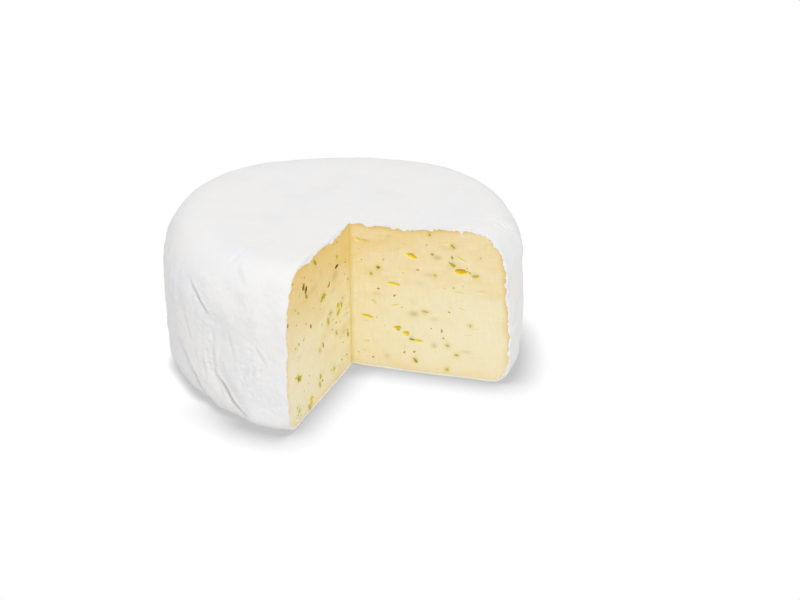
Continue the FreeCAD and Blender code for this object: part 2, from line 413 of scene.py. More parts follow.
draw = random.Random(11)
for i in range(BACK_CREASES):
    start = BACK_FROM + (BACK_TO - BACK_FROM) * (i + draw.uniform(-BACK_SHIFT, BACK_SHIFT)) / BACK_CREASES
    top = draw.uniform(*BACK_TOP)
    drop = draw.uniform(*BACK_DROP)
    lean = draw.choice([-1.0, 1.0]) * draw.uniform(*BACK_LEAN)
    bend = draw.uniform(-BACK_BEND, BACK_BEND)
    low = max(top - drop, LOWEST_END)
    route = [(start, top), (start + lean / 2.0 + bend, (top + low) / 2.0), (start + lean, low)]
    depth = draw.uniform(*BACK_DEPTH)
    crest, groove = crease(route, depth, BACK_LIP * depth, draw.uniform(*BACK_WIDTH))
    relief = relief + crest - groove
    fold = np.maximum(fold, groove)
# the grey of sparse mould and painted shade at the bottom of each sharp groove
bare_and_shaded = np.clip(fold / BARE_AND_SHADED_FOLD, 0.0, 1.0) ** BARE_AND_SHADED_FADE
print(BACK_CREASES, "creases round the back; the barest point is", bare_and_shaded.max().round(2), "bare_and_shaded")

# %% Crumpled patches, flutes and pits
# patches of the side: (azimuth, height, half width in mm, half height in mm, depth in mm)
CRUMPLED = [
    (-116, 31, 9, 18, 0.75), (-133, 30, 7, 20, 0.65), (-138, 55, 12, 12, 0.45), (-150, 46, 14, 24, 0.35),
    (-124, 58, 12, 14, 0.35), (20, 40, 22, 18, 0.6), (85, 34, 26, 16, 0.6), (150, 38, 24, 18, 0.6),
    (50, 28, 18, 14, 0.5), (118, 50, 18, 14, 0.5),
]
CRUMPLE_SIZE = 2.1
HOLLOW = (-129, 34, 13, 24, 1.9)  # the side between two folds has sunk in
FLUTES = (-7, 68, 12, 18, 0.65)
FLUTE_STEP = 4.4  # mm from flute to flute
FLUTE_SWAY = 0.4  # of a step that a flute wanders
PATCH_RADIUS = 55.0  # mm from the middle: nearer in a patch of the side doesn't reach
# (azimuth, height, size, depth) on the shoulder and ((x, y), size, depth) on the top
PITS = [(-128, 82, 1.4, 0.7), (-120.5, 78.5, 0.9, 0.3), (-14, 81, 1.2, 0.6), (-17.5, 82, 1, 0.5),
        (-12, 76, 1, 0.4)]
TOP_PITS = [((38, 67), 1.1, 0.4), ((-18, 60), 1.3, 0.25), ((-66, -6), 1.6, 0.3),
            ((56, 12), 0.9, 0.3), ((-70, -28), 1.2, 0.3), ((10, 20), 1.2, 0.2)]
TOP_FROM = 70.0  # mm up


def patch(middle_azimuth, middle_height, half_width, half_height):
    """1 in the middle of a patch of the side, falling softly to 0 round it."""
    x = np.radians(wrapped(azimuth - middle_azimuth)) * ROLLED_RADIUS / half_width
    z = (height - middle_height) / half_height
    return np.exp(-(x * x + z * z)) * (radius > PATCH_RADIUS)


for i, (*place, depth) in enumerate(CRUMPLED):
    folded = 1.0 - 2.0 * np.abs(lumps(rind_points * (1.0, 1.0, 0.7), CRUMPLE_SIZE, 20 + i))
    relief = relief + depth * patch(*place) * folded
relief = relief - HOLLOW[-1] * patch(*HOLLOW[:4])
flute_turns = np.radians(azimuth) * ROLLED_RADIUS / FLUTE_STEP + FLUTE_SWAY * lumps(rind_points, 14.0, 32)
flute_wave = np.cos(2.0 * np.pi * flute_turns)
flute_wave = flute_wave * (0.6 + 0.6 * lumps(rind_points, 6.0, 31))
relief = relief + FLUTES[-1] * patch(*FLUTES[:4]) * flute_wave
for middle_azimuth, middle_height, size, depth in PITS:
    relief = relief - depth * patch(middle_azimuth, middle_height, size, size)
for (x, y), size, depth in TOP_PITS:
    gap = np.hypot(rind_points[..., 0] - x, rind_points[..., 1] - y) / size
    relief = relief - depth * np.exp(-gap * gap) * (height > TOP_FROM)
print("relief from", relief.min().round(2), "to", relief.max().round(2), "mm")

# %% [markdown]
# ## The torn edge of the rind
# A knife doesn't slice a felted rind cleanly. It drags it a little over the cut and leaves
# a ragged lip, which stands proud of the paste and is thicker in some places than others.
# So close to the cuts the skin is pushed out of the cut plane by noise, and the inner wall
# gets a thickness of its own at every point. One larger flake hangs over the right face.

# %% Thickness and overhang
RIND_THICKNESS = 1.55
BASE_THICKNESS = 0.95
THINNEST = 0.5
EDGE_DEPTH = 2.2  # mm from a cut over which the edge is ragged
EDGE_PROUD = 0.35
EDGE_TORN = 0.75
THICKNESS_TORN = 0.8
FLAKE_OUT = 58.0  # mm from the knife line, on the right cut
FLAKE_WIDTH = 1.0
FLAKE_DROP = 2.6
TEETH = 64
TOOTH_ROWS = (0.42, 0.98)  # share of the rows, up the side and over the top, where they stand
TOOTH_WIDTH = (0.4, 1.3)  # rows
TOOTH_REACH = (-0.7, 1.1)
BASE_REACH = 6.0  # mm up from the table where the thinner rind of the base ends
BASE_CALM = 0.55  # how much less ragged the edge is there
EDGE_CALM = 0.4  # how much the relief dies down at a cut
INNER_FOLLOWS = 0.55  # share of the overhang that the inner wall takes part in
FOOT_REACH = 3.0  # mm up from the table where the relief has grown to its full height
FOOT_RELIEF = 0.15  # share of it on the base, which stands flat
# where the knife dragged the rind further over the face, or tore it off:
# (distance out, height, reach, extra width), in mm
SMEARS = {
    "right": [(10, 82, 2, 1.4), (3, 83, 3, -0.7), (46, 83, 5, -0.5), (30, 83, 4, 0.5), (72, 74, 4, 0.6)],
    "left": [(3, 83, 3, -0.7), (25, 83, 2, 1), (51, 84, 6, 1.9), (71, 71, 3, 2), (76, 62, 3, 2.4),
             (78, 44, 3, 0.7), (78, 12, 4, 0.6)],
}

out = rind_sections[..., 0]
sweep_turn = np.radians(rind_azimuths - RIGHT_CUT)[None, :]
from_right = sweep_turn * out
from_left = (math.radians(SWEEP) - sweep_turn) * out
edge_right = np.exp(-((from_right / EDGE_DEPTH) ** 2)) * (sweep_turn < 1.0)
edge_left = np.exp(-((from_left / EDGE_DEPTH) ** 2)) * (sweep_turn > 1.0)
edge = np.maximum(edge_right, edge_left)
edges = {"right": edge_right, "left": edge_left}
leave_knife_line = np.clip(out / 5.0, 0.0, 1.0)

torn = lumps(rind_points, 2.3, 40) + 0.6 * lumps(rind_points, 1.0, 41)
push = (EDGE_PROUD + EDGE_TORN * torn) * leave_knife_line
turns = np.radians(rind_azimuths)
around = np.stack([-np.sin(turns), np.cos(turns), np.zeros(len(turns))], axis=1)
overhang = (edge_left - edge_right)[..., None] * push[..., None] * around[None]

on_base = np.clip(1.0 - height / BASE_REACH, 0.0, 1.0)
thickness = RIND_THICKNESS + (BASE_THICKNESS - RIND_THICKNESS) * on_base
ragged = lumps(rind_points, 6.0, 42) + 1.1 * lumps(rind_points, 1.6, 43)
thickness = thickness + edge * THICKNESS_TORN * ragged * (1.0 - BASE_CALM * on_base)
tooth_rows = [draw.uniform(*TOOTH_ROWS) * RIND_ROWS for _ in range(TEETH)]
for i, row in enumerate(tooth_rows):
    one_edge = edge_right if i % 2 else edge_left
    width = draw.uniform(*TOOTH_WIDTH)
    gap = (np.arange(RIND_ROWS + 1)[:, None] - row) / width
    thickness = thickness + draw.uniform(*TOOTH_REACH) * np.exp(-gap * gap) * one_edge
for cut, smears in SMEARS.items():
    for smear_out, smear_up, reach, extra in smears:
        gap = np.hypot(out - smear_out, height - smear_up) / reach
        thickness = thickness + extra * np.exp(-gap * gap) * edges[cut]
flake = np.exp(-(((out - FLAKE_OUT) / FLAKE_WIDTH) ** 2)) * (height > TOP_FROM) * edge_right ** 2
thickness = np.maximum(thickness + FLAKE_DROP * flake, THINNEST)

relief = relief * (1.0 - EDGE_CALM * edge) * np.clip(height / FOOT_REACH, FOOT_RELIEF, 1.0)
outer = rind_points + rind_normals * relief[..., None] + overhang
outer[..., 2] = np.maximum(outer[..., 2], 0.0)
inner = rind_points + rind_normals * (relief - thickness)[..., None] + INNER_FOLLOWS * overhang
print("rind from", thickness.min().round(2), "to", thickness.max().round(2), "mm thick")

# %% [markdown]
# A spin makes the skin: one upright row of points turned through the sweep leaves a strip
# of rows and columns, and each point then goes to its place on the section. Extruding that
# skin as a region gives it an inside and closes it along both cuts in one step, which
# leaves a shell with no holes.

# %% Spin and extrude
SHARP = math.radians(50.0)  # a bend inside the rind's rim that keeps its edge


def spun_strip(mesh, rows, columns):
    """A strip of rows by columns faces, spun from a straight line of points. Returns its points."""
    ends = [bmesh.ops.create_vert(mesh, co=(1.0, 0.0, z))["vert"][0] for z in (0.0, 1.0)]
    line = mesh.edges.new(ends)
    bmesh.ops.subdivide_edges(mesh, edges=[line], cuts=rows - 1)
    line_points = [v for v in mesh.verts if not v.link_faces]
    line_edges = [e for e in mesh.edges if not e.link_faces]
    bmesh.ops.spin(
        mesh, geom=line_points + line_edges, cent=(0.0, 0.0, 0.0), axis=(0.0, 0.0, 1.0),
        angle=math.radians(SWEEP), steps=columns, use_merge=False, use_duplicate=False,
    )
    return [v for v in mesh.verts if v.link_faces]


def grid_place(point, rows, columns):
    """(row, column) of a point of a spun strip that hasn't been moved yet."""
    turn = math.atan2(point.co.y, point.co.x) % (2.0 * math.pi)
    return round(point.co.z * rows), round(turn / math.radians(SWEEP) * columns)


def finished(mesh, name):
    """A mesh made into a piece that rides on the round."""
    for face in mesh.faces:
        face.smooth = True
    data = bpy.data.meshes.new(name)
    mesh.to_mesh(data)
    piece = bpy.data.objects.new(name, data)
    bpy.context.collection.objects.link(piece)
    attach(piece, BODY)
    open_edges = sum(not e.is_contiguous for e in mesh.edges)
    triangles = sum(len(f.verts) - 2 for f in mesh.faces)
    volume = mesh.calc_volume(signed=True) / MM ** 3 / 1000.0
    print(name, triangles, "triangles,", open_edges, "open edges,", round(volume, 2), "ml")
    mesh.free()
    return piece


shell = bmesh.new()
bare_and_shaded_layer = shell.verts.layers.float.new("bare_and_shaded")
spun_strip(shell, RIND_ROWS, RIND_COLUMNS)
bmesh.ops.recalc_face_normals(shell, faces=shell.faces)
sample = shell.faces[len(shell.faces) // 2]
if sample.normal.dot(sample.calc_center_median() * Vector((1.0, 1.0, 0.0))) < 0.0:
    bmesh.ops.reverse_faces(shell, faces=shell.faces)
skin = shell.faces[:] + shell.edges[:] + shell.verts[:]
made = bmesh.ops.extrude_face_region(shell, geom=skin, use_keep_orig=True)
outside = {v for v in made["geom"] if isinstance(v, bmesh.types.BMVert)}
for v in shell.verts:
    row, column = grid_place(v, RIND_ROWS, RIND_COLUMNS)
    v.co = Vector((outer if v in outside else inner)[row, column]) * MM
    v[bare_and_shaded_layer] = bare_and_shaded[row, column]
bmesh.ops.remove_doubles(shell, verts=shell.verts, dist=1e-6)
for rim_edge in shell.edges:
    if not outside.intersection(rim_edge.verts) and rim_edge.calc_face_angle(0.0) > SHARP:
        rim_edge.smooth = False
rind = finished(shell, "rind")
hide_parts(NODE)

# %% [markdown]
# ## The paste
# Inside the rind is one body of paste. Its two cut faces are what the eye goes to, so they
# need an even, dense grid of points that also follows the rounded outline. A plain grid is
# laid over each face by blending its four borders: the knife line, the base, the side and
# the top. The hidden skin between the two faces is spun with few columns.

# %% Borders of a cut face
FACE_COLUMNS = 176
FACE_ROWS = 184
SKIN_COLUMNS = 44
PASTE_INSET = 0.3  # at the cuts the paste begins inside the rind's wall, so no gap can show
HIDDEN_INSET = 7.5  # elsewhere, with too few columns to follow the folds, it keeps well behind them
INSET_GROWS = 30.0  # mm from the knife line over which it grows to that
PASTE_RECESS = 0.2  # the paste shrank back a little from the cut


def inset(section, depth):
    """A section moved inwards by a depth, which it only reaches away from the knife line."""
    tangent = np.gradient(section, axis=0)
    tangent = tangent / np.maximum(np.hypot(tangent[:, 0], tangent[:, 1]), 1e-9)[:, None]
    reached = PASTE_INSET + (depth - PASTE_INSET) * np.clip(section[:, :1] / INSET_GROWS, 0.0, 1.0)
    moved = section - reached * np.stack([tangent[:, 1], -tangent[:, 0]], axis=1)
    moved[0] = (0.0, PASTE_INSET)
    moved[-1] = (0.0, section[-1, 1] - PASTE_INSET)
    return moved


def border(section):
    """A section in three stretches with the face grid's counts: base, side and top."""
    step = np.diff(section, axis=0)
    length = np.hypot(step[:, 0], step[:, 1])
    climbs = (step[:, 1] > np.abs(step[:, 0])) & (section[1:, 0] > section[:, 0].max() / 2.0)
    foot = int(np.argmax(climbs))
    shoulder = len(climbs) - int(np.argmax(climbs[::-1]))
    stretches = []
    for first, last, count in ((0, foot, FACE_COLUMNS), (foot, shoulder, FACE_ROWS),
                               (shoulder, len(section) - 1, FACE_COLUMNS)):
        places = even_steps(np.ones(last - first), length[first:last], count)
        stretches.append(points_at(section, first + places)[:-1])
    return np.concatenate(stretches + [section[-1:]])


def contour_at(column):
    """(distance out, height) of the finished rind's outside at one of its columns."""
    x, y = outer[:, column, 0] - KNIFE_POINT[0], outer[:, column, 1] - KNIFE_POINT[1]
    return np.stack([np.hypot(x, y), outer[:, column, 2]], axis=1)


skin_azimuths = np.linspace(RIGHT_CUT, RIGHT_CUT + SWEEP, SKIN_COLUMNS + 1)
skin_sections = [inset(border(section), HIDDEN_INSET) for section in read_sections(skin_azimuths)]
skin_sections[0] = inset(border(contour_at(0)), PASTE_INSET)
skin_sections[-1] = inset(border(contour_at(-1)), PASTE_INSET)
skin_sections = np.stack(skin_sections, axis=1)
between = facing("right") + facing("left")
recess = between * (PASTE_RECESS / (1.0 + facing("right").dot(facing("left"))))
PASTE_KNIFE_POINT = (KNIFE_POINT[0] - recess.x, KNIFE_POINT[1] - recess.y)
skin_points = swept(skin_sections, skin_azimuths, PASTE_KNIFE_POINT)
print("paste's knife line at", [round(c, 2) for c in PASTE_KNIFE_POINT], "mm")


# %% Blend the borders
def blended(share_out, share_up, contour):
    """(distance out, height) on a face at shares of its width and its height."""
    base = contour[:FACE_COLUMNS + 1]
    flank = contour[FACE_COLUMNS:FACE_COLUMNS + FACE_ROWS + 1]
    top = contour[FACE_COLUMNS + FACE_ROWS:][::-1]
    knife = np.linspace(base[0], top[0], FACE_ROWS + 1)
    column = np.rint(share_out * FACE_COLUMNS).astype(int)
    row = np.rint(share_up * FACE_ROWS).astype(int)
    u, v = share_out[:, None], share_up[:, None]
    across = (1.0 - u) * knife[row] + u * flank[row]
    upright = (1.0 - v) * base[column] + v * top[column]
    corners = (1.0 - u) * ((1.0 - v) * base[0] + v * top[0]) + u * ((1.0 - v) * base[-1] + v * top[-1])
    return across + upright - corners


print("face corners", blended(np.array([1.0, 1.0]), np.array([0.0, 1.0]), skin_sections[:, 0]).round(1))

# %% [markdown]
# ## Openings, eyes and the drag of the knife
# While the curd matted together, small gaps stayed between its grains. The knife opens
# them as flat slits and eyes, and their walls are more golden than the cut face, with a
# painted shadow under the upper lip. Each is a torn lens pressed into the grid. How golden
# and how far under the upper lip a point lies is kept in attributes, so that the colour
# and the painted shadow can follow.

# %% Openings and tiny eyes
OPENING_DEPTH = 1.4
DEEP_MOUTH = 2.6  # mm of thickness from which an opening has its full depth
GOLDEN_AREA = 18.0  # square mm of mouth from which an opening's wall is fully golden
PORES = 22  # tiny eyes and slits on each face, too small for the solid
PORE_SIZE = (0.6, 1.1)
PORE_OUT = (3.0, 72.0)  # where they may lie, out and up
PORE_UP = (4.0, 78.0)
PORE_TILT = (-25.0, 15.0)
PORE_GOLD = (0.1, 0.28)  # golden share
SLIT_SHARE = 0.35  # of them that are long slits between two layers of curd
SLIT_STRETCH = (4.0, 7.0)  # length over thickness of a slit, and of an eye
EYE_STRETCH = (1.0, 2.4)
RIM_REACH = 1.12  # share of its size where a mouth meets the face
RIM_SOFTNESS = 0.36
RIM_TORN = 0.3
POINTED = 0.6  # how pointed the ends of a lens are


def with_pores(cut, seed):
    """The openings of a face with their golden shares, and its tiny eyes and slits."""
    eyes = random.Random(seed)
    found = [(*sizes, min(1.0, sizes[2] * sizes[3] / GOLDEN_AREA) ** 1.4) for sizes in solid_openings[cut]]
    for _ in range(PORES):
        size = eyes.uniform(*PORE_SIZE)
        stretch = eyes.uniform(*(SLIT_STRETCH if eyes.random() < SLIT_SHARE else EYE_STRETCH))
        found.append((eyes.uniform(*PORE_OUT), eyes.uniform(*PORE_UP), size * stretch, size,
                      eyes.uniform(*PORE_TILT), eyes.uniform(*PORE_GOLD)))
    return found


def opened(place, sizes, tear):
    """For one torn lens, how open each point of a face is, 0 to 1, and how far up in it, -1 to 1."""
    middle_out, middle_up, length, thick, tilt, _ = sizes
    turn = math.radians(tilt)
    dx, dz = place[:, 0] - middle_out, place[:, 1] - middle_up
    along = (dx * math.cos(turn) + dz * math.sin(turn)) / (length / 2.0)
    across = (dz * math.cos(turn) - dx * math.sin(turn)) / (thick / 2.0)
    reach = np.sqrt(along ** 2 + across ** 2 + POINTED * (along * across) ** 2) * (1.0 + RIM_TORN * tear)
    return np.clip((RIM_REACH - reach) / RIM_SOFTNESS, 0.0, 1.0), np.clip(across, -1.0, 1.0)


all_openings = {"right": with_pores("right", 5), "left": with_pores("left", 6)}
print({cut: len(found) for cut, found in all_openings.items()}, "openings")

# %% [markdown]
# The colour of the paste follows more shares: how near a point is to the rind, where the
# paste has ripened to a deeper yellow, where it is painted paler, partly for paler curd and
# partly as painted light, how near it is to the knife line, where a darker golden band is
# painted shade of the inside corner, and whether a herb lies just below the surface and
# greys it.
#
# A herb colours the paste round it too: its oil leaves a yellow stain. So the places of the
# herbs come before the paste. They are chopped leaf and stalk: dark and olive where dry,
# bright where the cut is fresh.

# %% Where the larger herbs lie
# (distance out, height, length, width, tilt, shade from 0, dark, to 1, bright yellow green)
HERBS = {
    "right": [(54, 64, 4.5, 1.2, -30, 0.5), (66, 59, 3.5, 1, 10, 0.6), (15, 58, 2, 1.6, 0, 0.2),
        (54, 74, 3.5, 0.9, -40, 0.5), (35, 7, 3.5, 1.4, -50, 0.4), (33, 19, 3, 0.8, -5, 0.2),
        (11, 54, 1.5, 1, -30, 0.6), (40, 36, 3, 0.5, -15, 0.6), (52, 18, 2.5, 0.6, -15, 0.6),
        (57, 13, 2.5, 0.6, -5, 0.6), (42, 79, 1.5, 1, -70, 0.5), (64, 31, 2, 0.7, 80, 0.8),
        (52, 4, 2, 1.2, 20, 0.8), (45, 57, 1.5, 0.6, -10, 0.6)],
    "left": [(44, 77, 5, 1.9, 50, 0.45), (33, 81, 5, 1.6, 5, 1), (55, 64, 3, 1.7, 70, 0.35),
        (34, 55, 5, 1.6, 10, 0.65), (37, 54, 3.5, 1.6, -20, 0.65), (17, 69, 2.5, 1.4, 0, 0.65),
        (13, 41, 3.5, 1.4, 70, 0.55), (17, 38, 4, 1.8, -30, 0.65), (30, 39, 4, 2.2, 80, 0.75),
        (27, 42, 3.5, 1, 0, 0.75), (5, 20, 3, 2.2, 70, 0.45), (20, 28, 3.5, 1.2, 70, 0.75),
        (41, 28, 3, 1.4, 70, 0.85), (41, 13, 3.5, 1.8, 70, 0.65), (42, 9, 4, 1.4, 80, 0.75),
        (67, 26, 3, 1.5, 60, 0.65), (65, 24, 3.5, 1.8, -40, 0.55), (53, 5, 3.5, 2.4, 70, 0.95),
        (55, 3, 4, 2.4, 60, 0.75), (67, 7, 3.5, 1.2, 80, 0.85), (24, 9, 3.5, 1.8, 30, 0.95),
        (77, 58, 2, 2, 80, 0.25)],
}
STAIN_REACH = 0.9  # mm round a herb
print(sum(len(rows) for rows in HERBS.values()), "larger herbs")

# %% Build the paste
CREAM_LINE = 3.6  # mm deep
RIPE_FROM, RIPE_TO = 40.0, 84.0  # heights between which the paste deepens towards the top
RIPE_AT_BASE = 0.2
RIPE_ABOVE = {"right": 0.3, "left": 0.95}
# where the paste is painted palest, partly for paler curd and partly as painted light: middle out and up,
# half width and half height in mm, strength
PALE_SPOT = {"right": (46, 24, 75, 34, 0.9), "left": (60, 12, 46, 30, 0.8)}
KNIFE_LINE = {"right": (1.2, 0.8), "left": (2.6, 1.0)}  # width in mm and strength of the darker golden band beside it, painted shade of the inside corner
LAYERS = 0.16  # mm of height that the layers of the curd gave the face
DRAG = 0.10  # mm of height that the knife's drag gave it
GRAIN = 0.07
CALM_BORDER = 1.2  # mm from its border where a face's relief begins
SLIGHT = 0.05  # share of the depth that even the thinnest opening has
STAIN_TORN = 0.5
# herbs just below the surface: (distance out, height, half width, half height, strength)
VEILED = {
    "right": [(34, 34, 2.6, 1.5, 0.9), (40, 36, 2.8, 0.8, 0.8), (46, 67, 2.2, 1.3, 0.8),
              (45, 17, 1.6, 1.4, 0.7)],
    "left": [(20, 60, 4, 3, 0.8), (27, 41, 4, 1.8, 0.4), (46, 64, 4, 2, 0.4), (10, 24, 2.6, 2.2, 0.5)],
}
FAINT_VEILS = 12  # more on each face, at seeded places


def all_veils(cut, seed):
    """The veils of a face, placed and faint."""
    places = random.Random(seed)
    faint = [(places.uniform(4.0, 70.0), places.uniform(6.0, 76.0), places.uniform(1.2, 3.2),
              places.uniform(0.8, 2.0), places.uniform(0.2, 0.5)) for _ in range(FAINT_VEILS)]
    return VEILED[cut] + faint


veils = {"right": all_veils("right", 8), "left": all_veils("left", 9)}


def spot(place, middle_out, middle_up, half_width, half_height):
    """1 in the middle of a soft spot on a face, falling to 0 round it."""
    gap = np.hypot((place[:, 0] - middle_out) / half_width, (place[:, 1] - middle_up) / half_height)
    return np.exp(-gap * gap)


def cut_face(mesh, cut, contour):
    """Lays a grid over one cut face, presses the openings in, and fills its colour attributes."""
    normal = np.array(facing(cut))
    grid = bmesh.ops.create_grid(mesh, x_segments=FACE_COLUMNS, y_segments=FACE_ROWS, size=0.5)["verts"]
    share = np.array([(v.co.x, v.co.y) for v in grid]) + 0.5
    place = blended(share[:, 0], share[:, 1], contour)
    width, tall = contour[:, 0].max(), contour[:, 1].max()
    to_rind = np.minimum((1.0 - share[:, 0]) * width, np.minimum(share[:, 1], 1.0 - share[:, 1]) * tall)
    to_border = np.minimum(to_rind, share[:, 0] * width)
    points = swept(place[:, None], np.array([CUTS[cut][0]]), PASTE_KNIFE_POINT)[:, 0]

    openness = np.zeros(len(grid))
    golden = np.zeros(len(grid))
    under_lip_shadow = np.zeros(len(grid))
    tear = lumps(points, 1.4, 54)
    for sizes in all_openings[cut]:
        share_open, upper = opened(place, sizes, tear)
        deep_share = min(1.0, SLIGHT + (1.0 - SLIGHT) * (sizes[3] / DEEP_MOUTH) ** 2)
        openness = np.maximum(openness, share_open * deep_share)
        golden = np.maximum(golden, share_open * sizes[5])
        # painted shadow under the upper lip of each opening, deepest in the golden ones
        under_lip_shadow = np.maximum(under_lip_shadow, share_open * sizes[5] * np.clip(upper + 0.1, 0.0, 1.0))
    drag = DRAG * lumps(points * (1.0, 1.0, 0.3), 1.6, 50) + LAYERS * lumps(points, 7.0, 51)
    grain = GRAIN * lumps(points, 1.1, 52)
    depth = drag + grain - OPENING_DEPTH * openness
    depth = depth * np.clip(to_border / CALM_BORDER, 0.0, 1.0)
    points = points + depth[:, None] * normal

    veil = np.zeros(len(grid))
    for *where_to, strength in veils[cut]:
        veil = np.maximum(veil, strength * spot(place, *where_to))
    stain = np.zeros(len(grid))
    for herb_out, herb_up, length, herb_width, _, _ in HERBS[cut]:
        reach = 0.5 * math.sqrt(length * herb_width) + STAIN_REACH
        stain = np.maximum(stain, spot(place, herb_out, herb_up, reach, reach) * (1.0 + STAIN_TORN * tear))
    ripe = np.exp(-((to_rind / (CREAM_LINE * (1.0 + 0.4 * lumps(points, 9.0, 53)))) ** 2))
    ripe = ripe * (RIPE_AT_BASE + (1.0 - RIPE_AT_BASE) * np.clip(place[:, 1] / RIPE_FROM, 0.0, 1.0))
    above = np.clip((place[:, 1] - RIPE_FROM) / (RIPE_TO - RIPE_FROM), 0.0, 1.0)
    ripe = np.maximum(ripe, RIPE_ABOVE[cut] * above)
    # a darker golden band along the knife line: painted shade of the inside corner
    band, strength = KNIFE_LINE[cut]
    knife = strength * np.exp(-((place[:, 0] / band) ** 2))
    # painted paler, partly paler curd and partly painted light in the low corner
    *where_to, strength = PALE_SPOT[cut]
    pale_and_lit = strength * spot(place, *where_to)
    shares = {"golden": golden, "under_lip_shadow": under_lip_shadow, "veil": veil, "ripe": ripe, "knife_line_shade": knife,
              "pale_and_lit": pale_and_lit, "stain": stain}
    layers = {name: mesh.verts.layers.float.get(name) for name in shares}
    for i, v in enumerate(grid):
        v.co = Vector(points[i]) * MM
        for name, layer in layers.items():
            v[layer] = shares[name][i]


body = bmesh.new()
for name in ("golden", "under_lip_shadow", "veil", "ripe", "knife_line_shade", "pale_and_lit", "stain"):
    body.verts.layers.float.new(name)
border_rows = 2 * FACE_COLUMNS + FACE_ROWS
for v in spun_strip(body, border_rows, SKIN_COLUMNS):
    row, column = grid_place(v, border_rows, SKIN_COLUMNS)
    v.co = Vector(skin_points[row, column]) * MM
cut_face(body, "right", skin_sections[:, 0])
cut_face(body, "left", skin_sections[:, -1])
for v in body.verts:
    v.tag = v.is_boundary
bmesh.ops.remove_doubles(body, verts=body.verts, dist=2e-6)
bmesh.ops.recalc_face_normals(body, faces=body.faces)
for border_edge in body.edges:
    if all(v.tag for v in border_edge.verts) and border_edge.calc_face_angle(0.0) > SHARP:
        border_edge.smooth = False
paste = finished(body, "paste")

# %% [markdown]
# ## What was stirred into the curd
# Dried herbs, chilli and cracked pepper were mixed in before moulding, so the knife meets
# them at every angle. Each bit is a small ball squashed to a flake, bent and roughened, and
# then shaved off level with the cut, because that is what the knife did to it. The larger
# bits have their places; small ones are scattered by a seeded generator.

# %% Bits in a cut face
SHAVED = 0.16  # mm that a bit may stand out of the paste
UNEVEN = 0.34  # share of its size that a bit may swell or shrink
BENT = 0.35
SMALL_OUT = (2.0, 72.0)  # where the small ones may lie, out and up
SMALL_UP = (4.0, 77.0)
SMALL_TILT = 60.0
RIGHT_EVERY = 3  # one in so many small ones lies on the right face


def bit(mesh, shade_layer, cut, sizes, depth, seed):
    """Adds one squashed, roughened bit. sizes: distance out, height, length, width, tilt, shade."""
    middle_out, up, length, width, tilt, shade = sizes
    ball = bmesh.ops.create_icosphere(mesh, subdivisions=2, radius=0.5)["verts"]
    along = direction(CUTS[cut][0])
    normal = facing(cut)
    turn = math.radians(tilt)
    origin = Vector((*PASTE_KNIFE_POINT, up)) + along * middle_out
    for v in ball:
        x, y, z = v.co
        wobble = 1.0 + UNEVEN * noise.noise(v.co * 3.1 + Vector((seed, 0.0, 0.0)))
        x, z = x * length * wobble, (z + BENT * x * x) * width * wobble
        lift = min(y * depth * wobble, SHAVED + 0.03 * noise.noise(v.co * 5.0))
        across = x * math.cos(turn) - z * math.sin(turn)
        upright = x * math.sin(turn) + z * math.cos(turn)
        v.co = (origin + along * across + Vector((0.0, 0.0, upright)) + normal * lift) * MM
        v[shade_layer] = shade


def scattered(seed, count, length, width, shade):
    """Small bits at seeded places on both faces."""
    places = random.Random(seed)
    found = []
    for i in range(count):
        size = places.uniform(*length)
        sizes = (places.uniform(*SMALL_OUT), places.uniform(*SMALL_UP), size, size * places.uniform(*width),
                 places.uniform(-SMALL_TILT, SMALL_TILT), places.uniform(*shade))
        found.append(("right" if i % RIGHT_EVERY == 0 else "left", sizes))
    return found


def bits(name, by_hand, small, depth):
    """One piece with every bit of a kind: those listed for each cut, and the small ones."""
    placed = [(cut, sizes) for cut, rows in by_hand.items() for sizes in rows] + small
    mesh = bmesh.new()
    shade_layer = mesh.verts.layers.float.new("shade")
    for i, (cut, sizes) in enumerate(placed):
        bit(mesh, shade_layer, cut, sizes, depth, 7.0 * i)
    return finished(mesh, name)


# %% [markdown]
# The larger herbs are joined by small crumbled ones, which lie anywhere.

# %% Herbs
herbs = bits("herbs", HERBS, scattered(21, 66, (0.5, 2.0), (0.35, 0.7), (0.4, 1.0)), 1.6)

# %% Chilli
CHILLI = {
    "right": [(36, 59, 2, 0.8, 0, 0.9), (15, 46, 1.5, 0.9, 0, 0.8), (49, 26, 2.5, 0.8, 90, 0.5),
        (29, 11, 2, 0.8, 60, 0.9)],
    "left": [(28, 58, 3, 1.2, -30, 0.3), (51, 46, 2.5, 1.4, 80, 0.2), (37, 29, 4, 1.6, 70, 0.7),
        (25, 32, 1.5, 1, 40, 0.9)],
}
chilli = bits("chilli", CHILLI, scattered(22, 8, (0.5, 1.1), (0.5, 0.8), (0.5, 1.0)), 1.2)

# %% Pepper
PEPPER = {
    "left": [(18, 64, 4.5, 1.2, -5, 0.1), (58, 70, 3.5, 1.6, -50, 0.5), (55, 67, 4, 1.4, -55, 0.3)],
}
pepper = bits("pepper", PEPPER, scattered(23, 6, (0.4, 0.7), (0.6, 0.9), (0.5, 1.0)), 1.2)

# %% [markdown]
# The knife also leaves crumbs of pale curd on the faces. Most lie low on the left face,
# near the rind, where the knife came out.

# %% Curd crumbs
CRUMBS = {
    "left": [(66, 5, 4, 2.4, 40, 0.6), (69, 3, 3.5, 2, 0, 0.7), (63, 7, 3, 1.8, 20, 0.6),
        (61, 3, 3, 1.8, 30, 0.5), (69, 9, 2.5, 1.6, 70, 0.8), (72, 6, 2.5, 1.8, 60, 0.7)],
    "right": [(3, 40, 2, 1.4, 10, 0.9)],
}
crumbs = bits("curd_crumbs", CRUMBS, scattered(24, 40, (0.5, 1.3), (0.5, 0.9), (0.2, 0.9)), 1.0)

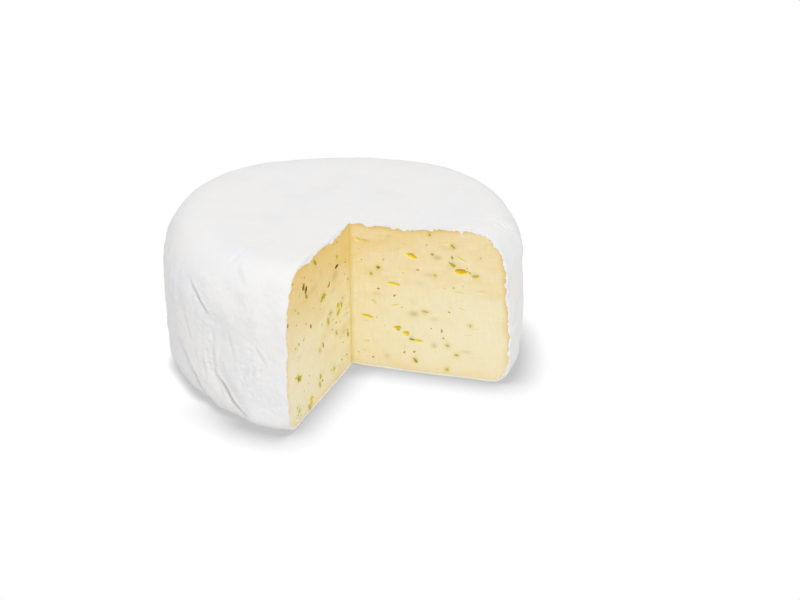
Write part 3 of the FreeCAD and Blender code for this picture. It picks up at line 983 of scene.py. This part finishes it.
# %% [markdown]
# ## Materials
# Every finish starts from a Principled surface. One small function adds a node and connects
# it, and one turns a written colour into the linear one that the renderer needs. A pattern
# takes its scale from the size of the real thing in millimetres, and a colour is laid over
# the one before it by a share between 0 and 1.

# %% Helpers for materials
MIX_A, MIX_B, MIX_RESULT = 6, 7, 2  # the colour sockets of a Mix node


def colour(code):
    """A linear colour from its sRGB hex value."""
    channels = [int(code[i:i + 2], 16) / 255.0 for i in (1, 3, 5)]
    return [c / 12.92 if c <= 0.04045 else ((c + 0.055) / 1.055) ** 2.4 for c in channels] + [1.0]


def per_size(size):
    """Scale of a pattern whose features are a size in mm across."""
    return 1.0 / (size * MM)


def add(tree, kind, inputs=None, **settings):
    """Adds a node with its settings. An input is a number, a colour or another node's output."""
    new = tree.nodes.new("ShaderNode" + kind)
    for name, value in settings.items():
        setattr(new, name, value)
    for name, value in (inputs or {}).items():
        if isinstance(value, bpy.types.NodeSocket):
            tree.links.new(value, new.inputs[name])
        else:
            new.inputs[name].default_value = value
    return new


def surface(name, piece, **constants):
    """A new material on a piece, with constants on its Principled shader."""
    material = bpy.data.materials.new(name)
    material.use_nodes = True
    shader = material.node_tree.nodes["Principled BSDF"]
    for socket, value in constants.items():
        shader.inputs[socket.replace("_", " ")].default_value = value
    piece.data.materials.append(material)
    return material.node_tree, shader


print("white as a linear colour", [round(c, 3) for c in colour("#F1F0ED")])

# %% [markdown]
# The rind is a felt of white mould, a few tenths of a millimetre deep, over pressed curd.
# It has no gloss at all: light enters the felt and leaves it softly, brighter at grazing
# angles. It is almost neutral white, a little warmer or cooler in cloudy patches, and
# painted grey at the bottom of the sharp folds, partly because the mould grows thinly there
# and partly as painted shade.

# %% White mould
MOULD = "#F2F1F0"
WORN = "#F0EEEA"
COOL = "#EFEFF3"
BARE_AND_SHADED = "#BFBAB4"  # sparse mould and painted shade at the bottom of a sharp fold
FELT = 0.7  # mm between tufts; real fibres are finer and wouldn't show
FELT_HEIGHT = 0.09
KNOT = 2.6  # mm between the knots that the tufts make
KNOT_HEIGHT = 0.22

tree, shader = surface("bloomy_white_mould", rind, Roughness=0.92, Specular_IOR_Level=0.25,
                       Sheen_Weight=0.12, Sheen_Roughness=0.6, Subsurface_Weight=0.15,
                       Subsurface_Scale=0.0010, Subsurface_Radius=(1.0, 0.95, 0.9))
where = add(tree, "TexCoord").outputs["Object"]
patches = add(tree, "TexNoise", {"Vector": where, "Scale": per_size(26.0), "Detail": 4.0, "Roughness": 0.6})
worn = add(tree, "MapRange", {"Value": patches.outputs["Fac"], "From Min": 0.5, "From Max": 0.72})
cloudy = add(tree, "TexNoise", {"Vector": where, "Scale": per_size(40.0), "Detail": 2.0, "W": 3.0},
             noise_dimensions="4D")
cool = add(tree, "MapRange", {"Value": cloudy.outputs["Fac"], "From Min": 0.5, "From Max": 0.7})
# sparse mould and painted shade grey the bottom of the sharp folds
thin_and_shaded = add(tree, "Attribute", attribute_name="bare_and_shaded").outputs["Fac"]
last = colour(MOULD)
for share, tint in ((worn.outputs["Result"], WORN), (cool.outputs["Result"], COOL), (thin_and_shaded, BARE_AND_SHADED)):
    mixed = add(tree, "Mix", {0: share, MIX_A: last, MIX_B: colour(tint)}, data_type="RGBA")
    last = mixed.outputs[MIX_RESULT]
tree.links.new(last, shader.inputs["Base Color"])
tufts = add(tree, "TexNoise", {"Vector": where, "Scale": per_size(FELT), "Detail": 3.0, "Roughness": 0.65})
knots = add(tree, "TexNoise", {"Vector": where, "Scale": per_size(KNOT), "Detail": 3.0, "Roughness": 0.55})
fuzz = add(tree, "Bump", {"Height": tufts.outputs["Fac"], "Strength": 0.7, "Distance": FELT_HEIGHT * MM})
felt = add(tree, "Bump", {"Height": knots.outputs["Fac"], "Strength": 0.7, "Distance": KNOT_HEIGHT * MM,
                          "Normal": fuzz.outputs["Normal"]})
tree.links.new(felt.outputs["Normal"], shader.inputs["Normal"])
print(len(tree.nodes), "nodes make the mould")

# %% [markdown]
# The paste is a young semi-soft cheese: pale butter yellow, moist, and lit from inside as
# much as from outside. Grains of curd make it slightly mottled, level streaks run where the
# curd lay in layers, and it deepens to golden near the rind and in the openings, whose
# walls carry a painted shadow under the upper lip.

# %% Butter-yellow paste
PASTE = "#F5E7BC"
PALE = "#F8EDCB"
DEEP = "#F0D998"
# attribute: colour and how much of it
SHARES = {"pale_and_lit": ("#F7EDCC", 1.0), "ripe": ("#EEC566", 0.88), "knife_line_shade": ("#E6CE6C", 0.6),
          "veil": ("#C4B468", 0.75), "stain": ("#DDCB5C", 0.6)}
STRAW = "#F4E640"  # a shallow opening, and below it a deep one and the painted shadow under its lip
GOLD = "#F6C400"
LIP_SHADE = "#A47600"
GRIT = 0.9  # mm between the finest grains of curd
GRIT_HEIGHT = 0.12

tree, shader = surface("young_cheese_paste", paste, Roughness=0.5, Specular_IOR_Level=0.35,
                       Subsurface_Weight=0.35, Subsurface_Scale=0.0016,
                       Subsurface_Radius=(1.0, 0.85, 0.5))
where = add(tree, "TexCoord").outputs["Object"]
layered = add(tree, "Mapping", {"Vector": where, "Scale": (1.0, 1.0, 2.2)}).outputs["Vector"]
grains = add(tree, "TexNoise", {"Vector": layered, "Scale": per_size(5.0), "Detail": 4.0, "Roughness": 0.7})
pale = add(tree, "MapRange", {"Value": grains.outputs["Fac"], "From Min": 0.44, "From Max": 0.66})
shadowed = add(tree, "TexNoise", {"Vector": layered, "Scale": per_size(15.0), "Detail": 3.0, "W": 2.0},
               noise_dimensions="4D")
deep = add(tree, "MapRange", {"Value": shadowed.outputs["Fac"], "From Min": 0.47, "From Max": 0.72})
tints = [(pale.outputs["Result"], PALE), (deep.outputs["Result"], DEEP)]
for name, (tint, strength) in SHARES.items():
    share = add(tree, "Attribute", attribute_name=name).outputs["Fac"]
    tints.append((add(tree, "Math", {0: share, 1: strength}, operation="MULTIPLY").outputs["Value"], tint))
golden = add(tree, "Attribute", attribute_name="golden").outputs["Fac"]
for start, full, tint in ((0.02, 0.3, STRAW), (0.3, 0.95, GOLD)):
    share = add(tree, "MapRange", {"Value": golden, "From Min": start, "From Max": full})
    tints.append((share.outputs["Result"], tint))
# painted shadow under the upper lip of the openings
tints.append((add(tree, "Attribute", attribute_name="under_lip_shadow").outputs["Fac"], LIP_SHADE))
last = colour(PASTE)
for share, tint in tints:
    mixed = add(tree, "Mix", {0: share, MIX_A: last, MIX_B: colour(tint)}, data_type="RGBA")
    last = mixed.outputs[MIX_RESULT]
tree.links.new(last, shader.inputs["Base Color"])
grit = add(tree, "TexNoise", {"Vector": where, "Scale": per_size(GRIT), "Detail": 4.0, "Roughness": 0.6})
rough = add(tree, "Bump", {"Height": grit.outputs["Fac"], "Strength": 0.5, "Distance": GRIT_HEIGHT * MM})
tree.links.new(rough.outputs["Normal"], shader.inputs["Normal"])
print(len(tree.nodes), "nodes make the paste")

# %% [markdown]
# Herbs, chilli, pepper and crumbs each have two colours, and the shade kept with each bit
# chooses between them. Fine noise breaks the colour up inside a bit.

# %% Finishes of the bits
def bit_finish(name, piece, dark, bright, roughness, glow):
    """A material that runs from a dark to a bright colour with the shade of each bit."""
    tree, shader = surface(name, piece, Roughness=roughness, Specular_IOR_Level=0.4,
                           Subsurface_Weight=glow, Subsurface_Scale=0.0008)
    where = add(tree, "TexCoord").outputs["Object"]
    fleck = add(tree, "TexNoise", {"Vector": where, "Scale": per_size(0.8), "Detail": 2.0})
    change = add(tree, "MapRange", {"Value": fleck.outputs["Fac"], "To Min": -0.35, "To Max": 0.35})
    own = add(tree, "Attribute", attribute_name="shade").outputs["Fac"]
    shade = add(tree, "Math", {0: own, 1: change.outputs["Result"]}, operation="ADD", use_clamp=True)
    mixed = add(tree, "Mix", {0: shade.outputs["Value"], MIX_A: colour(dark), MIX_B: colour(bright)},
                data_type="RGBA")
    tree.links.new(mixed.outputs[MIX_RESULT], shader.inputs["Base Color"])


bit_finish("dried_herb", herbs, "#84780C", "#DED034", 0.7, 0.0)
bit_finish("chilli_flake", chilli, "#B8500C", "#F09E40", 0.7, 0.0)
bit_finish("cracked_pepper", pepper, "#5A3A04", "#A06810", 0.8, 0.0)
bit_finish("white_curd", crumbs, "#F0DFB4", "#F9F1DC", 0.55, 0.5)
print(len(bpy.data.materials), "materials")

# %% [markdown]
# ## Floor and light
# A plain white floor and a white surround light the round almost evenly, as a big soft box
# does. One wide lamp above and behind gives the top its weight, and one in front lights the
# cut faces. The camera sees the floor as a white glow with a painted shadow on it, which
# deepens where a place of the floor sees less of its surround and is kept off the floor
# behind and on the left.

# %% Floor, surround and lamps
FLOOR_SIZE = 8.0  # metres
FLOOR_WHITE = "#ECECEC"
SHADOW_REACH = 18.0  # mm that the soft shadow in front of the base reaches over the floor
SHADOW_OPEN = 0.5  # open share of the surround where it is deepest
CONTACT_REACH = 6.0  # the same for the tight shadow all round
CONTACT_OPEN = 0.4
# behind and on the left the floor stays white: the painted soft shadow grows along this way
SHADOW_WAY = (0.8, -0.6, 0.0)
SHADOW_START, SHADOW_FULL = -30.0, 10.0  # mm along it
SHADOW_DEEPEST = 0.55  # of white, right beside the base
WORLD_LIGHT = 0.61
WHITE = (1.0, 1.0, 1.0, 1.0)
LAMP_AIM = Vector((0.0, 0.0, 0.04))


def looked_at(tree):
    """1 for a ray that comes from the camera, straight, by a reflection or through glass."""
    path = add(tree, "LightPath")
    seen = path.outputs["Is Camera Ray"]
    for other in ("Is Glossy Ray", "Is Transmission Ray"):
        seen = add(tree, "Math", {0: seen, 1: path.outputs[other]}, operation="MAXIMUM").outputs["Value"]
    return seen


plane = bmesh.new()
bmesh.ops.create_grid(plane, x_segments=1, y_segments=1, size=FLOOR_SIZE / 2.0)
floor_data = bpy.data.meshes.new("floor")
plane.to_mesh(floor_data)
plane.free()
floor = bpy.data.objects.new("floor", floor_data)
bpy.context.collection.objects.link(floor)

tree, shader = surface("white_floor", floor, Roughness=1.0, Specular_IOR_Level=0.0,
                       Base_Color=colour(FLOOR_WHITE))
place = add(tree, "NewGeometry").outputs["Position"]
forward = add(tree, "VectorMath", {0: place, 1: SHADOW_WAY}, operation="DOT_PRODUCT").outputs["Value"]
front = add(tree, "MapRange", {"Value": forward, "From Min": SHADOW_START * MM,
                               "From Max": SHADOW_FULL * MM})
# painted shadow: the camera sees the floor as a glow, dimmed by the base from occlusion and a set
# direction, not a shadow cast by the lamps
shades = []
for reach, open_share in ((SHADOW_REACH, SHADOW_OPEN), (CONTACT_REACH, CONTACT_OPEN)):
    around = add(tree, "AmbientOcclusion", {"Distance": reach * MM}, samples=8)
    shade = add(tree, "MapRange", {"Value": around.outputs["AO"], "From Min": open_share,
                                   "To Min": SHADOW_DEEPEST})
    shades.append(shade.outputs["Result"])
soft = add(tree, "Mix", {0: front.outputs["Result"], 2: 1.0, 3: shades[0]})
shadow = add(tree, "Math", {0: soft.outputs[0], 1: shades[1]}, operation="MINIMUM")
white = add(tree, "Emission", {"Color": WHITE, "Strength": shadow.outputs["Value"]})
both = add(tree, "MixShader", {0: looked_at(tree), 1: shader.outputs["BSDF"], 2: white.outputs["Emission"]})
tree.links.new(both.outputs["Shader"], tree.nodes["Material Output"].inputs["Surface"])

world = bpy.data.worlds.new("surround")
bpy.context.scene.world = world
world.use_nodes = True
tree = world.node_tree
sky = tree.nodes["Background"]
sky.inputs["Color"].default_value = WHITE
level = add(tree, "MapRange", {"Value": looked_at(tree), "To Min": WORLD_LIGHT, "To Max": 1.0})
tree.links.new(level.outputs["Result"], sky.inputs["Strength"])


def lamp(name, place, size, power):
    """A square soft box at a place in metres, turned to the middle of the round."""
    data = bpy.data.lights.new(name, "AREA")
    data.size = size
    data.energy = power
    new = bpy.data.objects.new(name, data)
    new.location = place
    new.rotation_euler = (LAMP_AIM - Vector(place)).to_track_quat("-Z", "Y").to_euler()
    bpy.context.collection.objects.link(new)


lamp("soft_box_above", (-0.8, 0.3, 1.5), 1.2, 3.6)
lamp("soft_box_front", (0.33, -1.1, 1.13), 0.9, 10.0)
bpy.context.scene.view_settings.view_transform = "Standard"
print("floor", floor_data.materials[0].name, "and", len(bpy.data.lights), "lamps")
